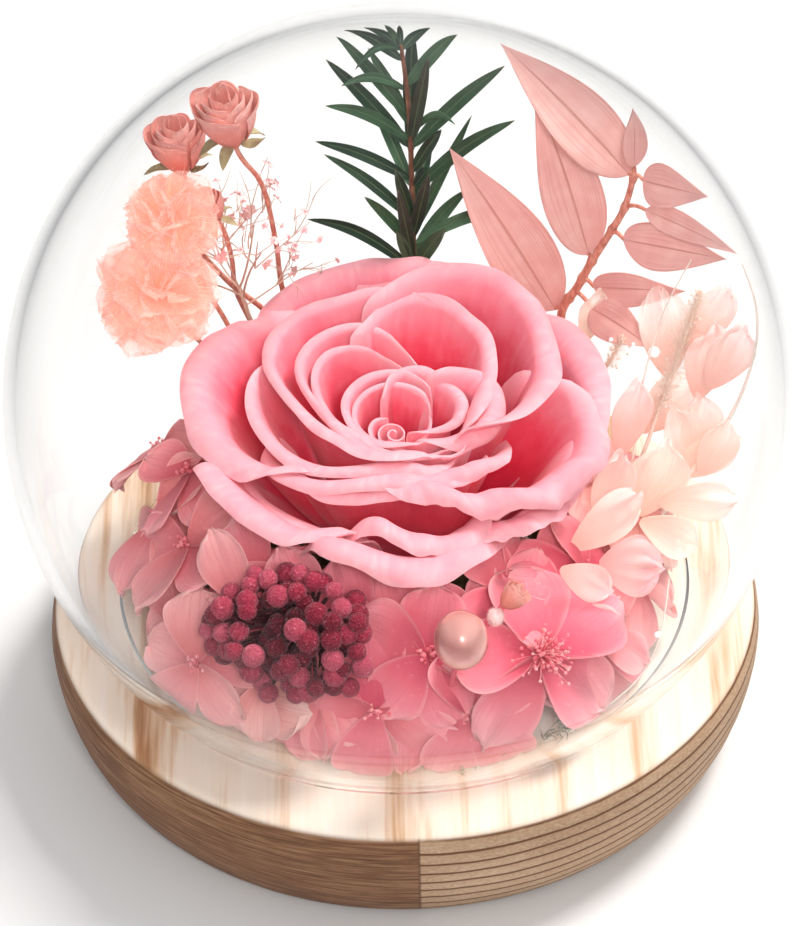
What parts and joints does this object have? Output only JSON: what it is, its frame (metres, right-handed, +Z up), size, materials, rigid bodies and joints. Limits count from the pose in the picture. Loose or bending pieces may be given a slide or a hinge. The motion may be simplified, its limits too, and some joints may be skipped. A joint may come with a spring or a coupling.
{
  "type": "preserved rose in glass dome",
  "caption": "Preserved pink rose with dried flowers, berries and leaf sprigs, set in moss on a round wooden base under a clear glass globe.",
  "frame": {"origin": "centre of the flat underside of the wooden base", "axes": "+Z up through the globe, -Y towards the front that the rose leans to, +X to the right seen from the front"},
  "size_m": [0.12, 0.12, 0.1184],
  "materials": {
    "wood": "satin",
    "glass": "polished",
    "moss": "matte",
    "stem": "matte",
    "rose_petal": "matte",
    "floret": "matte",
    "berry": "matte",
    "pearl": "pearl",
    "green_leaf": "matte",
    "dyed_leaf": "matte",
    "rosebud": "matte",
    "puff": "matte",
    "pale_petal": "matte",
    "dried_grass": "matte"
  },
  "bodies": {
    "root": {"berry_spray": "berry", "floret_1": "floret", "floret_2": "floret", "floret_3": "floret", "floret_4": "floret", "floret_5": "floret", "floret_6": "floret", "floret_7": "floret", "floret_8": "floret", "glass_dome": "glass", "grass_blade": "dried_grass", "green_sprig": "green_leaf", "moss_bed": "moss", "pale_petal_back": "pale_petal", "pale_petal_low": "pale_petal", "pale_petal_side": "pale_petal", "pearl": "pearl", "puff_large": "puff", "puff_small": "puff", "rose_heart": "rose_petal", "rose_petal_back_left": "rose_petal", "rose_petal_back_right": "rose_petal", "rose_petal_big_back": "rose_petal", "rose_petal_big_left": "rose_petal", "rose_petal_big_right": "rose_petal", "rose_petal_front_fold": "rose_petal", "rose_petal_front_lip": "rose_petal", "rose_petal_heart_left": "rose_petal", "rose_petal_heart_right": "rose_petal", "rose_petal_heart_scroll": "rose_petal", "rose_petal_inner_left": "rose_petal", "rose_petal_inner_right": "rose_petal", "rose_petal_left_fold": "rose_petal", "rose_petal_low_front": "rose_petal", "rose_petal_low_left": "rose_petal", "rose_petal_low_right": "rose_petal", "rose_petal_outer_left": "rose_petal", "rose_petal_outer_right": "rose_petal", "rose_petal_second_back": "rose_petal", "rose_petal_second_left": "rose_petal", "rose_stem": "stem", "rosebud_back": "rosebud", "rosebud_front": "rosebud", "rosebud_side": "rosebud", "ruscus_leaf_1": "dyed_leaf", "ruscus_leaf_2": "dyed_leaf", "ruscus_leaf_3": "dyed_leaf", "ruscus_leaf_4": "dyed_leaf", "ruscus_leaf_5": "dyed_leaf", "ruscus_leaf_6": "dyed_leaf", "ruscus_leaf_7": "dyed_leaf", "ruscus_leaf_8": "dyed_leaf", "ruscus_leaf_9": "dyed_leaf", "ruscus_stem": "dyed_leaf", "seed_head": "dried_grass", "side_bud": "rosebud", "wood_base": "wood"}
  },
  "joints": []
}
